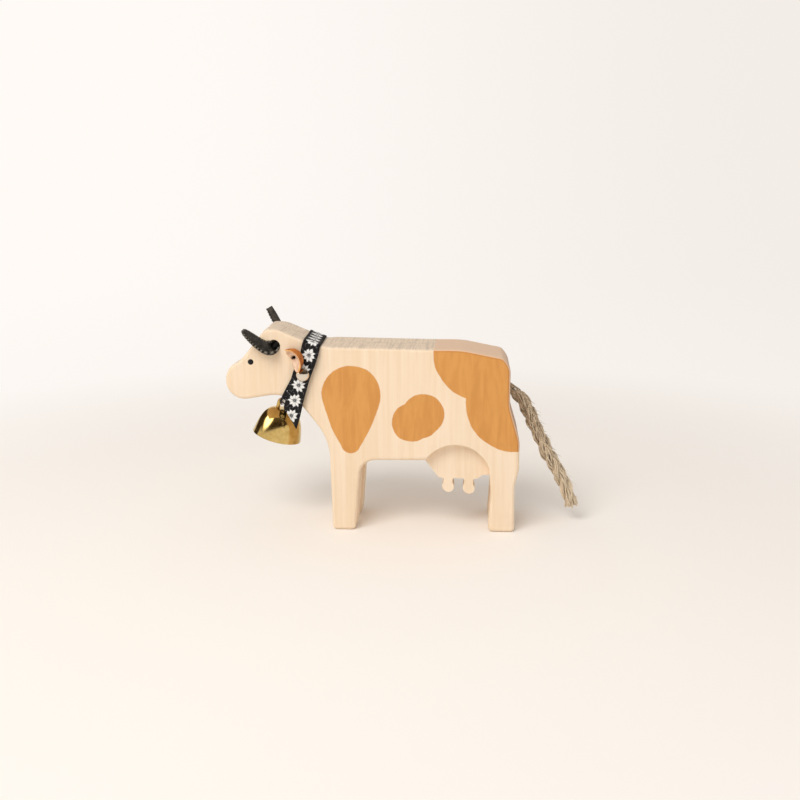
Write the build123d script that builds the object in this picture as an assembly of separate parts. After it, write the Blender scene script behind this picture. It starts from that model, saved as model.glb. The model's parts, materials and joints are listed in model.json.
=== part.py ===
from build123d import *
from math import atan2, cos, degrees, radians, sin, tan
import os

# Sawn wooden cow with leather horns and ears, a rope tail and a bell on a ribbon collar.
# Millimetres, +Z up, head towards -X. The origin lies on the floor, midway between nose and rump.

os.makedirs("parts", exist_ok=True)

# Wooden body, sawn from one board
body_length = 122.5
body_thickness = 30.0
poll_height = 86.4
belly_height = 31.0
front_leg_width = 9.3
rear_leg_width = 10.3
rear_toe_reach = 1.0
rear_ankle_height = 16.0
rear_ankle_radius = 20.0
leg_slot_width = 9.0
leg_slot_margin = 1.0
leg_slot_round = 2.0
foot_round = 1.9
front_crotch_round = 7.0
rear_crotch_round = 2.4
edge_round = 1.4
front_leg_share = 0.354
heel_share = 0.988

# Side outline from the chest round the head and back to the hock:
# along the length from the nose, up the height, and the corner's radius along the length
chest_shares = (0.349, 0.4595, 0.204)
throat_shares = (0.222, 0.694, 0.131)
chin_shares = (0.0, 0.642, 0.062)
nose_shares = (0.0, 0.808, 0.065)
bridge_shares = (0.055, 0.848, 0.082)
forehead_shares = (0.143, 1.0, 0.0245)
poll_shares = (0.1845, 1.0, 0.065)
withers_shares = (0.321, 0.917, 0.245)
loin_shares = (0.768, 0.906, 0.49)
rump_shares = (0.965, 0.844, 0.041)
tail_set_shares = (0.965, 0.631, 0.114)
thigh_shares = (1.0, 0.463, 0.114)
hamstring_shares = (1.0, 0.318, 0.049)
hock_shares = (0.986, 0.2315, 0.082)
run_use_share = 0.98

# Udder, left standing by a round cutter that sinks into both sides
udder_cutter_radius = 15.0
udder_crown_height = 37.8
udder_recess = 4.0
udder_height = 22.5
udder_step = 1.7
udder_front_round = 6.0
udder_rear_round = 2.0
teat_tip_height = 16.0
teat_diameter = 5.0
teat_neck_width = 3.8
teat_pitch = 8.8
teat_round = 0.8
front_bag_share = 0.24
rear_bag_share = 0.78
bag_step_share = 0.88
front_teat_share = 0.36

# Horns, one leather strip rolled to a gutter, pushed through the head and bent up at both ends
horn_hole_diameter = 5.2
horn_clearance = 0.1
horn_thickness = 1.0
horn_wrap = 130.0
horn_wrap_angle = 195.0
horn_root_width = 3.0
horn_tip_width = 1.6
horn_tip_round = 0.6
horn_exit = 3.0
horn_bend_radius = 3.2
horn_spread = 19.0
near_horn_length = 13.6
far_horn_length = 15.8
near_horn_angle = 141.0
far_horn_angle = 120.0
horn_tooth_pitch = 1.4
horn_notch_radius = 0.4
horn_hole_shares = (0.1706, 0.919)

# Ears, leather rolled into a stem that opens to a cup
ear_hole_diameter = 3.0
ear_hole_depth = 8.0
ear_clearance = 0.15
ear_leather = 0.9
ear_elbow = 0.9
ear_tilt = 30.0
ear_neck_length = 0.9
ear_flare_length = 0.9
ear_flare_radius = 4.0
ear_cup_length = 2.2
ear_cup_radius = 4.8
ear_bend_radius = 0.9
ear_wrap = 196.0
ear_wrap_angle = 27.0
ear_hole_shares = (0.2392, 0.8665)

# Rope tail, glued into a slanted hole in the rump
rope_diameter = 4.2
tail_hole_clearance = 0.15
tail_hole_depth = 10.0
tail_hole_slope = 38.0
tail_hole_share = 0.701
rope_end_gap = 0.1
arc_run_share = 0.45
tail_route = (
    (61.4, 0.0, 56.9),
    (65.5, 0.0, 51.4),
    (69.0, 0.0, 44.5),
    (72.4, 0.0, 37.2),
    (76.2, 0.0, 30.0),
    (80.4, 0.0, 22.4),
    (84.2, 0.0, 14.6),
    (86.3, 0.0, 7.6),
)

# Ribbon collar: round the neck, through the bell's link and back to a rivet
ribbon_width = 7.4
ribbon_thickness = 0.45
ribbon_gap = 0.35
ribbon_lift = 1.15
ribbon_lay_gap = 0.05
ribbon_corner_radius = 1.6
collar_turn = 5.2
collar_share = 0.856
rivet_drop = 13.1
ribbon_tail_length = 22.2
ribbon_tail_slant = 6.1
ribbon_end_above_rivet = 3.6
throat_gap = 0.9
gather_width = 3.4
gather_half_length = 2.4
gather_start = 9.5
gather_bend_radius = 3.0

# Rivet that closes the collar
rivet_cap_diameter = 5.6
rivet_cap_height = 2.0
rivet_rim_height = 0.5
rivet_back_diameter = 4.6
rivet_back_thickness = 0.5
rivet_back_gap = 0.25
rivet_post_diameter = 1.9
rivet_post_reach = 1.0
rivet_clearance = 0.05

# Bell, its wire link and its clapper
bell_pivot_shares = (0.1815, 0.6185)
bell_lean = 17.0
bell_rim_diameter = 21.2
bell_height = 12.4
bell_wall = 0.8
bell_crown_radius = 4.0
bell_shoulder_radius = 8.2
bell_shoulder_drop = 6.4
bell_crown_round = 3.0
bell_waist_round = 10.0
link_wire = 1.7
link_inner_width = 4.0
link_corner_radius = 1.9
link_rise = 4.1
link_clearance = 0.05
link_slack = 0.85
clapper_wire_diameter = 1.0
clapper_running_clearance = 0.08
clapper_headroom = 0.3
clapper_length = 6.4
clapper_ball_diameter = 4.4

overrun = 2.0

half_thickness = body_thickness / 2
nose_x = -body_length / 2
front_leg_x = nose_x + front_leg_share * body_length
heel_x = nose_x + heel_share * body_length
rear_leg_x = heel_x - rear_leg_width


def spot(x_share, z_share):
    return (nose_x + x_share * body_length, z_share * poll_height)


def room_share(run, reach):
    # How much of the wanted arcs a straight run has room for
    return 1 if reach == 0 else min(1, run_use_share * run / reach)


def rounded_outline(points, radii):
    # Closed outline whose corner arcs shrink together where a run is too short for both
    corners = [Vector(*point) for point in points]
    reaches = []
    for i, corner in enumerate(corners):
        before = corner - corners[i - 1]
        after = corners[(i + 1) % len(corners)] - corner
        reaches.append(radii[i] * tan(radians(before.get_angle(after)) / 2))
    fitted = []
    for i, corner in enumerate(corners):
        following = (i + 1) % len(corners)
        before = room_share((corner - corners[i - 1]).length, reaches[i] + reaches[i - 1])
        after = room_share((corners[following] - corner).length, reaches[i] + reaches[following])
        fitted.append(radii[i] * min(before, after))
    return make_face(FilletPolyline(*points, radius=fitted, close=True))


def arc_middle(before, corner, after, radius):
    # The nearest that a corner's arc comes to the corner itself
    back = (Vector(*before) - Vector(*corner)).normalized()
    ahead = (Vector(*after) - Vector(*corner)).normalized()
    half_angle = radians(back.get_angle(ahead)) / 2
    return Vector(*corner) + (back + ahead).normalized() * radius * (1 / sin(half_angle) - 1)


def slab(face, thickness):
    return extrude(Plane.XZ * face, amount=thickness / 2, both=True)


def leaning_plane(x, z, lean):
    # Upright plane across the body, its top tipped back by the lean: local X is +Y, local Y is up
    tip = radians(lean)
    return Plane(origin=(x, 0, z), x_dir=(0, 1, 0), z_dir=(cos(tip), 0, -sin(tip)))


def sawn_body():
    shaped = (
        chest_shares, throat_shares, chin_shares, nose_shares, bridge_shares,
        forehead_shares, poll_shares, withers_shares, loin_shares, rump_shares,
        tail_set_shares, thigh_shares, hamstring_shares, hock_shares,
    )
    corners = [((front_leg_x, 0), foot_round)]
    for x_share, z_share, radius_share in shaped:
        corners.append((spot(x_share, z_share), radius_share * body_length))
    corners += [
        ((heel_x, 0), foot_round),
        ((rear_leg_x - rear_toe_reach, 0), foot_round),
        ((rear_leg_x, rear_ankle_height), rear_ankle_radius),
        ((rear_leg_x, belly_height), rear_crotch_round),
        ((front_leg_x + front_leg_width, belly_height), front_crotch_round),
        ((front_leg_x + front_leg_width, 0), foot_round),
    ]
    blank = slab(rounded_outline([c[0] for c in corners], [c[1] for c in corners]), body_thickness)
    sides = blank.faces().sort_by(Axis.Y)
    return fillet(sides[0].edges() + sides[-1].edges(), edge_round)


def udder():
    # Bag and teats, one outline whose necks run into round teat ends
    width = 2 * udder_cutter_radius
    front_x = rear_leg_x - width
    ball_height = teat_tip_height + teat_diameter / 2
    teat_xs = [front_x + front_teat_share * width + i * teat_pitch for i in range(2)]
    corners = [
        ((front_x, belly_height), 0),
        ((front_x + front_bag_share * width, udder_height), udder_front_round),
    ]
    for teat_x in teat_xs:
        left = teat_x - teat_neck_width / 2
        right = teat_x + teat_neck_width / 2
        corners += [
            ((left, udder_height), teat_round),
            ((left, ball_height), 0),
            ((right, ball_height), 0),
            ((right, udder_height), teat_round),
        ]
    corners += [
        ((front_x + rear_bag_share * width, udder_height), udder_rear_round),
        ((front_x + bag_step_share * width, udder_height + udder_step), udder_rear_round),
        ((rear_leg_x, udder_height + udder_step), 0),
        ((rear_leg_x, udder_crown_height), 0),
        ((front_x, udder_crown_height), 0),
    ]
    outline = rounded_outline([c[0] for c in corners], [c[1] for c in corners])
    for teat_x in teat_xs:
        outline += Pos(teat_x, ball_height) * Circle(teat_diameter / 2)
    return slab(outline, body_thickness - 2 * udder_recess)


def wooden_body():
    wood = sawn_body()
    cutter_x = rear_leg_x - udder_cutter_radius
    cutter_z = udder_crown_height - udder_cutter_radius
    for side in (-1, 1):
        depth_y = side * (half_thickness - udder_recess / 2 + overrun / 2)
        cutter = Cylinder(udder_cutter_radius, udder_recess + overrun)
        wood -= Pos(cutter_x, depth_y, cutter_z) * Rot(X=90) * cutter
    wood += udder()

    slot_height = belly_height - leg_slot_margin
    slot = Pos(0, 0, (slot_height - overrun) / 2) * Box(
        body_length + overrun, leg_slot_width, slot_height + overrun
    )
    ceiling = slot.faces().sort_by(Axis.Z)[-1].edges().filter_by(Axis.X)
    wood -= fillet(ceiling, leg_slot_round)

    horn_x, horn_z = spot(*horn_hole_shares)
    horn_hole = Cylinder(horn_hole_diameter / 2, body_thickness + overrun)
    wood -= Pos(horn_x, 0, horn_z) * Rot(X=90) * horn_hole
    ear_x, ear_z = spot(*ear_hole_shares)
    ear_hole = Cylinder(ear_hole_diameter / 2, ear_hole_depth + overrun)
    for side in (-1, 1):
        depth_y = side * (half_thickness - (ear_hole_depth - overrun) / 2)
        wood -= Pos(ear_x, depth_y, ear_z) * Rot(X=90) * ear_hole

    drill = Cylinder(
        rope_diameter / 2 + tail_hole_clearance,
        tail_hole_depth + rope_diameter,
        align=(Align.CENTER, Align.CENTER, Align.MIN),
    )
    return wood - tail_bore() * Pos(0, 0, -tail_hole_depth) * drill


def tail_bore():
    # The tail hole's mouth on the rump, its axis pointing out and down
    slope = radians(tail_hole_slope)
    mouth_x = spot(*rump_shares[:2])[0]
    mouth_z = tail_hole_share * poll_height
    return Plane(origin=(mouth_x, 0, mouth_z), x_dir=(0, 1, 0), z_dir=(cos(slope), 0, -sin(slope)))


def horn_half(side, angle, length):
    # Half of the strip, from the middle of the head to one tip
    x, z = spot(*horn_hole_shares)
    up = Vector(cos(radians(angle)), 0, sin(radians(angle)))
    bend = Plane(origin=(x, 0, z), x_dir=(0, side, 0), z_dir=Vector(0, side, 0).cross(up))
    path = bend * FilletPolyline(
        (0, 0), (half_thickness + horn_exit, 0), (horn_spread, length), radius=horn_bend_radius
    )
    roll_radius = horn_hole_diameter / 2 - horn_clearance
    roll = CenterArc(
        (0, 0), roll_radius - horn_thickness / 2, horn_wrap_angle - horn_wrap / 2, horn_wrap
    )
    section = Plane(origin=(x, 0, z), x_dir=(1, 0, 0), z_dir=(0, -1, 0)) * trace(roll, horn_thickness)
    gutter = sweep(section.face(), path=path)

    cut = Plane(origin=(x, 0, z), x_dir=up, z_dir=(0, -1, 0))
    edge = roll_radius + overrun
    pattern = [
        (-edge, -edge), (0, -edge), (0, roll_radius - horn_root_width),
        (length, roll_radius - horn_tip_width), (length, edge), (-edge, edge),
    ]
    outline = make_face(FilletPolyline(*pattern, radius=[0, 0, 0, horn_tip_round, 0, 0], close=True))
    for i in range(int((length - horn_bend_radius) / horn_tooth_pitch)):
        outline -= Pos(length - (i + 1) * horn_tooth_pitch, roll_radius) * Circle(horn_notch_radius)
    return gutter & extrude(cut * outline, amount=body_thickness, both=True)


def horn_strip():
    return horn_half(-1, near_horn_angle, near_horn_length) + horn_half(1, far_horn_angle, far_horn_length)


def rolled_leather(line):
    # Open roll of leather about the local Z axis
    wall = Plane.XZ * trace(line, line_width=ear_leather)
    return Rot(Z=ear_wrap_angle - ear_wrap / 2) * revolve(wall, axis=Axis.Z, revolution_arc=ear_wrap)


def ear(side):
    # A stem in the hole and a cup tipped towards its open side, joined on the mitre between them
    radius = ear_hole_diameter / 2 - ear_clearance - ear_leather / 2
    stem = rolled_leather(Line((radius, ear_clearance - ear_hole_depth), (radius, ear_elbow + overrun)))
    flare = ear_neck_length + ear_flare_length
    cup = rolled_leather(FilletPolyline(
        (radius, -overrun),
        (radius, ear_neck_length),
        (ear_flare_radius, flare),
        (ear_cup_radius, flare + ear_cup_length),
        radius=ear_bend_radius,
    ))
    open_side = ear_wrap_angle + 180
    elbow = Pos(0, 0, ear_elbow) * Rot(Z=open_side)
    mitre = Plane(elbow * Rot(Y=ear_tilt / 2))
    tipped = elbow * Rot(Y=ear_tilt) * Rot(Z=-open_side) * cup
    x, z = spot(*ear_hole_shares)
    near_side = Plane(origin=(x, -half_thickness, z), x_dir=(1, 0, 0), z_dir=(0, -1, 0))
    in_hole = split(stem, bisect_by=mitre, keep=Keep.BOTTOM)
    outside = split(tipped, bisect_by=mitre, keep=Keep.TOP)
    leather = near_side * (in_hole + outside)
    return leather if side < 0 else mirror(leather, about=Plane.XZ)


def tail_rope():
    bore = tail_bore()
    inner = bore.from_local_coords((0, 0, -tail_hole_depth + rope_end_gap))
    points = [inner] + [Vector(*point) for point in tail_route]
    radii = []
    for before, corner, after in zip(points, points[1:], points[2:]):
        incoming = corner - before
        outgoing = after - corner
        turn = radians(incoming.get_angle(outgoing))
        radii.append(arc_run_share * min(incoming.length, outgoing.length) / tan(turn / 2))
    print("tail arc radii", [round(radius, 1) for radius in radii])
    path = FilletPolyline(*points, radius=radii)
    section = Plane(origin=inner, x_dir=bore.x_dir, z_dir=bore.z_dir) * Circle(rope_diameter / 2)
    rope = sweep(section, path=path)
    print("tail length", round(path.length, 1), "volume", round(rope.volume, 1),
          "section times length", round(section.area * path.length, 1))
    return rope


poll = spot(*poll_shares[:2])
withers = spot(*withers_shares[:2])
neck_slope = degrees(atan2(poll[1] - withers[1], withers[0] - poll[0]))
collar_lean = neck_slope - collar_turn
collar_x = poll[0] + collar_share * (withers[0] - poll[0])
collar_z = poll[1] + collar_share * (withers[1] - poll[1])
collar_tip = radians(collar_lean)
rivet_x = collar_x - rivet_drop * sin(collar_tip)
rivet_z = collar_z - rivet_drop * cos(collar_tip)

back_layer_y = half_thickness + rivet_back_gap + rivet_back_thickness + ribbon_thickness / 2
front_layer_y = back_layer_y + ribbon_thickness + ribbon_lay_gap
far_layer_y = half_thickness + ribbon_gap + ribbon_thickness / 2

bell_x, bell_z = spot(*bell_pivot_shares)
bell_tip = radians(bell_lean)
seat_drop = link_wire / 2 + link_slack + ribbon_thickness / 2
seat_x = bell_x - seat_drop * sin(bell_tip)
seat_z = bell_z - seat_drop * cos(bell_tip)
bell_frame = Plane(
    origin=(bell_x, 0, bell_z),
    x_dir=(cos(bell_tip), 0, -sin(bell_tip)),
    z_dir=(sin(bell_tip), 0, cos(bell_tip)),
)


def upper_band():
    # From the slanted free end past the rivet, over the neck and down the far side
    plane = leaning_plane(collar_x, collar_z, collar_lean)
    top = ribbon_lift + ribbon_thickness / 2
    line = FilletPolyline(
        (-front_layer_y, -rivet_drop - ribbon_tail_length),
        (-front_layer_y, top),
        (far_layer_y, top),
        (far_layer_y, -rivet_drop),
        radius=ribbon_corner_radius,
    )
    band = extrude(plane * trace(line, line_width=ribbon_thickness), amount=ribbon_width / 2, both=True)
    side = Plane(origin=(rivet_x, 0, rivet_z), x_dir=plane.z_dir, z_dir=(0, -1, 0))
    edge = ribbon_width / 2
    trim = make_face(Polyline(
        (-edge, ribbon_tail_slant - ribbon_tail_length),
        (edge, -ribbon_tail_length),
        (edge, -ribbon_tail_length - overrun),
        (-edge, -ribbon_tail_length - overrun),
        close=True,
    ))
    return band - extrude(side * trim, amount=body_thickness)


def lower_band():
    # From its end under the rivet, beneath the throat through the link, and up the far side
    run = Vector(seat_x - rivet_x, seat_z - rivet_z)
    drop = run.length
    lean = degrees(atan2(-run.X, -run.Y))
    throat = arc_middle(
        spot(*chest_shares[:2]), spot(*throat_shares[:2]), spot(*chin_shares[:2]),
        throat_shares[2] * body_length,
    )
    throat_drop = (throat - Vector(rivet_x, rivet_z)).dot(run.normalized()) + throat_gap
    plane = leaning_plane(rivet_x, rivet_z, lean)
    line = FilletPolyline(
        (-back_layer_y, ribbon_end_above_rivet),
        (-back_layer_y, -throat_drop),
        (-gather_half_length, -drop),
        (gather_half_length, -drop),
        (far_layer_y, -throat_drop),
        (far_layer_y, 0),
        radius=(ribbon_corner_radius, gather_bend_radius, gather_bend_radius, ribbon_corner_radius),
    )
    band = extrude(plane * trace(line, line_width=ribbon_thickness), amount=ribbon_width / 2, both=True)
    wide = ribbon_width / 2 + ribbon_thickness
    narrow = gather_width / 2
    reach = body_thickness
    planform = Plane(origin=plane.origin, x_dir=plane.x_dir, z_dir=plane.y_dir)
    waist = make_face(Polyline(
        (-reach, -wide), (-gather_start, -wide), (-gather_half_length, -narrow),
        (gather_half_length, -narrow), (gather_start, -wide), (reach, -wide),
        (reach, wide), (gather_start, wide), (gather_half_length, narrow),
        (-gather_half_length, narrow), (-gather_start, wide), (-reach, wide),
        close=True,
    ))
    return band & extrude(planform * waist, amount=poll_height, both=True)


def collar_ribbon():
    fold = Pos(rivet_x, far_layer_y, rivet_z) * Rot(X=90) * Cylinder(ribbon_width / 2, ribbon_thickness)
    hole = Pos(rivet_x, -front_layer_y, rivet_z) * Rot(X=90) * Cylinder(
        rivet_post_diameter / 2 + rivet_clearance, front_layer_y
    )
    return upper_band() + lower_band() + fold - hole


rivet_frame = Plane(origin=(rivet_x, -front_layer_y - ribbon_thickness / 2, rivet_z), z_dir=(0, -1, 0))


def rivet_cap():
    radius = rivet_cap_diameter / 2
    rise = rivet_cap_height - rivet_rim_height
    outline = Polyline((0, rivet_cap_height), (0, 0), (radius, 0), (radius, rivet_rim_height))
    dome_radius = (radius**2 + rise**2) / (2 * rise)
    dome = RadiusArc((radius, rivet_rim_height), (0, rivet_cap_height), -dome_radius)
    cap = revolve(Plane.XZ * make_face(outline + dome), axis=Axis.Z)
    bore = Cylinder(
        rivet_post_diameter / 2 + rivet_clearance,
        rivet_post_reach + rivet_clearance,
        align=(Align.CENTER, Align.CENTER, Align.MIN),
    )
    return rivet_frame * (cap - bore)


def rivet_post():
    base = (Align.CENTER, Align.CENTER, Align.MAX)
    stack = 2 * ribbon_thickness + ribbon_lay_gap
    disc = Pos(0, 0, -stack) * Cylinder(rivet_back_diameter / 2, rivet_back_thickness, align=base)
    length = rivet_post_reach + stack
    post = Pos(0, 0, rivet_post_reach) * Cylinder(rivet_post_diameter / 2, length, align=base)
    return rivet_frame * (disc + post)


def bell_profile(inset):
    return FilletPolyline(
        (0, -link_rise - inset),
        (bell_crown_radius - inset, -link_rise - inset),
        (bell_shoulder_radius - inset, -link_rise - bell_shoulder_drop),
        (bell_rim_diameter / 2 - inset, -link_rise - bell_height),
        radius=(bell_crown_round, bell_waist_round),
    )


link_half_width = (link_inner_width + link_wire) / 2
clapper_eye_radius = link_wire / 2 + clapper_running_clearance + clapper_wire_diameter / 2
clapper_eye_reach = clapper_eye_radius + clapper_wire_diameter / 2
clapper_pivot_drop = link_rise + bell_wall + clapper_headroom + clapper_eye_reach


def bell_cup():
    outer = bell_profile(0)
    inner = bell_profile(bell_wall)
    wall = make_face(outer + inner + Line(outer @ 0, inner @ 0) + Line(outer @ 1, inner @ 1))
    cup = revolve(Plane.XZ * wall, axis=Axis.Z)
    for side in (-1, 1):
        hole = Cylinder(link_wire / 2 + link_clearance, 2 * link_rise)
        cup -= Pos(side * link_half_width, 0, -link_rise) * hole
    return bell_frame * cup


def bell_link():
    height = clapper_pivot_drop
    ring = Plane.XZ * Pos(0, -height / 2) * RectangleRounded(
        2 * link_half_width, height, link_corner_radius
    )
    wire = ring.wires()[0]
    start = Plane(origin=wire @ 0, z_dir=wire % 0)
    return bell_frame * sweep(start * Circle(link_wire / 2), path=wire)


def clapper_wire():
    ring = Torus(clapper_eye_radius, clapper_wire_diameter / 2)
    eye = Pos(0, 0, -clapper_pivot_drop) * Rot(Y=90) * ring
    top = clapper_pivot_drop + clapper_eye_radius
    shank = Pos(0, 0, -top) * Cylinder(
        clapper_wire_diameter / 2,
        clapper_length - clapper_eye_radius,
        align=(Align.CENTER, Align.CENTER, Align.MAX),
    )
    return bell_frame * (eye + shank)


def clapper_ball():
    centre = clapper_pivot_drop + clapper_length
    ball = Pos(0, 0, -centre) * Sphere(clapper_ball_diameter / 2)
    bore = Pos(0, 0, -centre) * Cylinder(
        clapper_wire_diameter / 2 + link_clearance,
        clapper_ball_diameter,
        align=(Align.CENTER, Align.CENTER, Align.MIN),
    )
    return bell_frame * (ball - bore)


pieces = {
    "wooden_body": wooden_body(),
    "horn_strip": horn_strip(),
    "ear_left": ear(-1),
    "ear_right": ear(1),
    "tail_rope": tail_rope(),
    "collar_ribbon": collar_ribbon(),
    "rivet_cap": rivet_cap(),
    "rivet_post": rivet_post(),
    "bell_cup": bell_cup(),
    "bell_link": bell_link(),
    "clapper_wire": clapper_wire(),
    "clapper_ball": clapper_ball(),
}
for name, piece in pieces.items():
    export_step(piece, f"parts/{name}.step")
print("bell pivot", [round(value, 3) for value in bell_frame.origin], "axis", bell_frame.x_dir)
print("clapper pivot", bell_frame.from_local_coords((0, 0, -clapper_pivot_drop)))
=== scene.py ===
import bpy
import bmesh
import json
import math
import random
from bisect import bisect
from mathutils import Matrix, Vector
from mathutils.geometry import interpolate_bezier


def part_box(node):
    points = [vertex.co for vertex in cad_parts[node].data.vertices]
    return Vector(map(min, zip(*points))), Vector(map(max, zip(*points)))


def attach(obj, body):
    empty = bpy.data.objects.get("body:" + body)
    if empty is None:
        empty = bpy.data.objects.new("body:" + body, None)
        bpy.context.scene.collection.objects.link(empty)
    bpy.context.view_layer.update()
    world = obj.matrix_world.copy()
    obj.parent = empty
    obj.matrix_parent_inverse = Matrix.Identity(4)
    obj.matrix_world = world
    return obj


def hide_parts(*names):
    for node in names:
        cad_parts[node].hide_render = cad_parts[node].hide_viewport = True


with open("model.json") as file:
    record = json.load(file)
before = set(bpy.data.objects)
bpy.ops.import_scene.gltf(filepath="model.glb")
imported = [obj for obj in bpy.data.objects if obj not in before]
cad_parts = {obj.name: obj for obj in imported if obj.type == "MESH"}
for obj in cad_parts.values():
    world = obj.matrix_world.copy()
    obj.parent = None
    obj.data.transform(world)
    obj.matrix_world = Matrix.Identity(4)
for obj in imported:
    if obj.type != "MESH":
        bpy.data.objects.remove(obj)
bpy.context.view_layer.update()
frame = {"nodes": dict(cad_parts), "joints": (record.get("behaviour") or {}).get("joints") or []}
mm = 0.001
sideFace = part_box("wooden_body")[1].y   # half the board's thickness
print("frame loaded:", len(frame["nodes"]), "nodes")


def point(x, y, z):
    return Vector((x, y, z)) * mm


def rgb(red, green, blue):
    # An 8-bit screen colour as the linear colour that a socket takes
    linear = []
    for value in (red, green, blue):
        share = value / 255
        linear.append(share / 12.92 if share <= 0.04045 else ((share + 0.055) / 1.055) ** 2.4)
    return (*linear, 1)


class Sock:
    # A node's socket that Python arithmetic can use
    def __init__(self, tree, socket=None):
        self.tree = tree
        self.socket = socket

    def node(self, kind, settings=None, inputs=None, out=0):
        made = self.tree.nodes.new(kind)
        for name, value in (settings or {}).items():
            setattr(made, name, value)
        for key, value in (inputs or {}).items():
            if isinstance(value, Sock):
                self.tree.links.new(value.socket, made.inputs[key])
            else:
                made.inputs[key].default_value = value
        return Sock(self.tree, made.outputs[out])

    def calc(self, operation, *values, clamp=False):
        settings = {"operation": operation, "use_clamp": clamp}
        return self.node("ShaderNodeMath", settings, dict(enumerate(values)))

    def __add__(self, other):
        return self.calc("ADD", self, other)

    def __sub__(self, other):
        return self.calc("SUBTRACT", self, other)

    def __rsub__(self, other):
        return self.calc("SUBTRACT", other, self)

    def __mul__(self, other):
        return self.calc("MULTIPLY", self, other)

    def __truediv__(self, other):
        return self.calc("DIVIDE", self, other)

    def __rtruediv__(self, other):
        return self.calc("DIVIDE", other, self)

    def __pow__(self, other):
        return self.calc("POWER", self, other)

    __radd__ = __add__
    __rmul__ = __mul__

    def least(self, other):
        return self.calc("MINIMUM", self, other)

    def most(self, other):
        return self.calc("MAXIMUM", self, other)

    def size(self):
        return self.calc("ABSOLUTE", self)

    def wave(self):
        return self.calc("SINE", self)

    def inside(self, soft):
        # 1 where a distance is below zero, fading to 0 past it
        return self.calc("MULTIPLY_ADD", self, -1 / soft, 0.5, clamp=True)

    def ease(self, low, high):
        # 0 below low, 1 above high, smooth between them
        limits = {"Value": self, "From Min": low, "From Max": high}
        return self.node("ShaderNodeMapRange", {"interpolation_type": "SMOOTHSTEP"}, limits)

    def tint(self, low, high):
        # A colour between two, with this socket as the share of the second
        return self.node("ShaderNodeMix", {"data_type": "RGBA"}, {0: self, 6: low, 7: high}, out=2)

    def split(self):
        parts = self.node("ShaderNodeSeparateXYZ", inputs={"Vector": self}).socket.node
        return [Sock(self.tree, output) for output in parts.outputs]

    def mapped(self, scale, turn=(0, 0, 0)):
        return self.node("ShaderNodeMapping", inputs={"Vector": self, "Scale": scale, "Rotation": turn})

    def noise(self, scale, detail=2, rough=0.5, distortion=0):
        values = {"Vector": self, "Scale": scale, "Detail": detail, "Roughness": rough,
                  "Distortion": distortion}
        return self.node("ShaderNodeTexNoise", inputs=values)

    def raised(self, distance, strength=1, under=None):
        # A bump from this height, in metres, on top of another bump
        values = {"Height": self, "Distance": distance, "Strength": strength}
        if under:
            values["Normal"] = under
        return self.node("ShaderNodeBump", inputs=values)


def startMaterial(name, **fixed):
    # A new material, with the numbers that are the same all over set on the shader
    made = bpy.data.materials.new(name)
    made.use_nodes = True
    shader = made.node_tree.nodes["Principled BSDF"]
    for socket, value in fixed.items():
        shader.inputs[socket.replace("_", " ")].default_value = value
    return made, Sock(made.node_tree)


def finishMaterial(made, **links):
    shader = made.node_tree.nodes["Principled BSDF"]
    for socket, value in links.items():
        made.node_tree.links.new(value.socket, shader.inputs[socket.replace("_", " ")])
    return made


def millimetres(start):
    # Object coordinates, scaled to millimetres
    place = start.node("ShaderNodeTexCoord", out="Object")
    return place.mapped((1 / mm, 1 / mm, 1 / mm))


def addPiece(name, shape, body, *materials, sharp=None):
    mesh = bpy.data.meshes.new(name)
    shape.to_mesh(mesh)
    shape.free()
    for material in materials:
        mesh.materials.append(material)
    mesh.shade_smooth()
    if sharp:
        mesh.set_sharp_from_angle(angle=math.radians(sharp))
    piece = bpy.data.objects.new(name, mesh)
    bpy.context.scene.collection.objects.link(piece)
    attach(piece, body)
    return piece


def thicken(piece, thickness, rim=0, inner=0, even=True):
    solid = piece.modifiers.new("wall", "SOLIDIFY")
    solid.thickness = thickness
    solid.offset = 0
    solid.use_even_offset = even
    solid.material_offset = inner
    solid.material_offset_rim = rim


def soften(piece, levels):
    smooth = piece.modifiers.new("smooth", "SUBSURF")
    smooth.levels = levels
    smooth.render_levels = levels


def smoothRows(rows, steps):
    # Rows of numbers joined by a Catmull-Rom curve
    line = []
    for i in range(len(rows) - 1):
        four = [rows[max(0, min(len(rows) - 1, i + k))] for k in (-1, 0, 1, 2)]
        for step in range(steps):
            t = step / steps
            line.append([0.5 * (2 * b + (c - a) * t + (2 * a - 5 * b + 4 * c - d) * t * t
                                + (3 * b - a - 3 * c + d) * t ** 3) for a, b, c, d in zip(*four)])
    line.append(list(rows[-1]))
    return line


def tangentsOf(points):
    tangents = []
    for i in range(len(points)):
        ahead = points[min(i + 1, len(points) - 1)]
        behind = points[max(i - 1, 0)]
        tangents.append((ahead - behind).normalized())
    return tangents


def carried(points, start, direction):
    # A direction given at one point, carried to all others without twist
    tangents = tangentsOf(points)
    found = {start: direction}
    for i in range(start + 1, len(points)):
        found[i] = tangents[i - 1].rotation_difference(tangents[i]) @ found[i - 1]
    for i in range(start - 1, -1, -1):
        found[i] = tangents[i + 1].rotation_difference(tangents[i]) @ found[i + 1]
    return [found[i] for i in range(len(points))]


def runsOf(points):
    runs = [0]
    for first, second in zip(points, points[1:]):
        runs.append(runs[-1] + (second - first).length / mm)
    return runs


def bentSheet(columns, rows, place):
    # A flat grid moved point by point: place takes shares along and across, and gives a point and a UV in mm
    sheet = bmesh.new()
    bmesh.ops.create_grid(sheet, x_segments=columns, y_segments=rows, size=0.5)
    uvs = sheet.loops.layers.uv.new("UVMap")
    for vertex in sheet.verts:
        where, flat = place(vertex.co.x + 0.5, vertex.co.y + 0.5)
        vertex.co = where
        for loop in vertex.link_loops:
            loop[uvs].uv = flat
    return sheet


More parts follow.
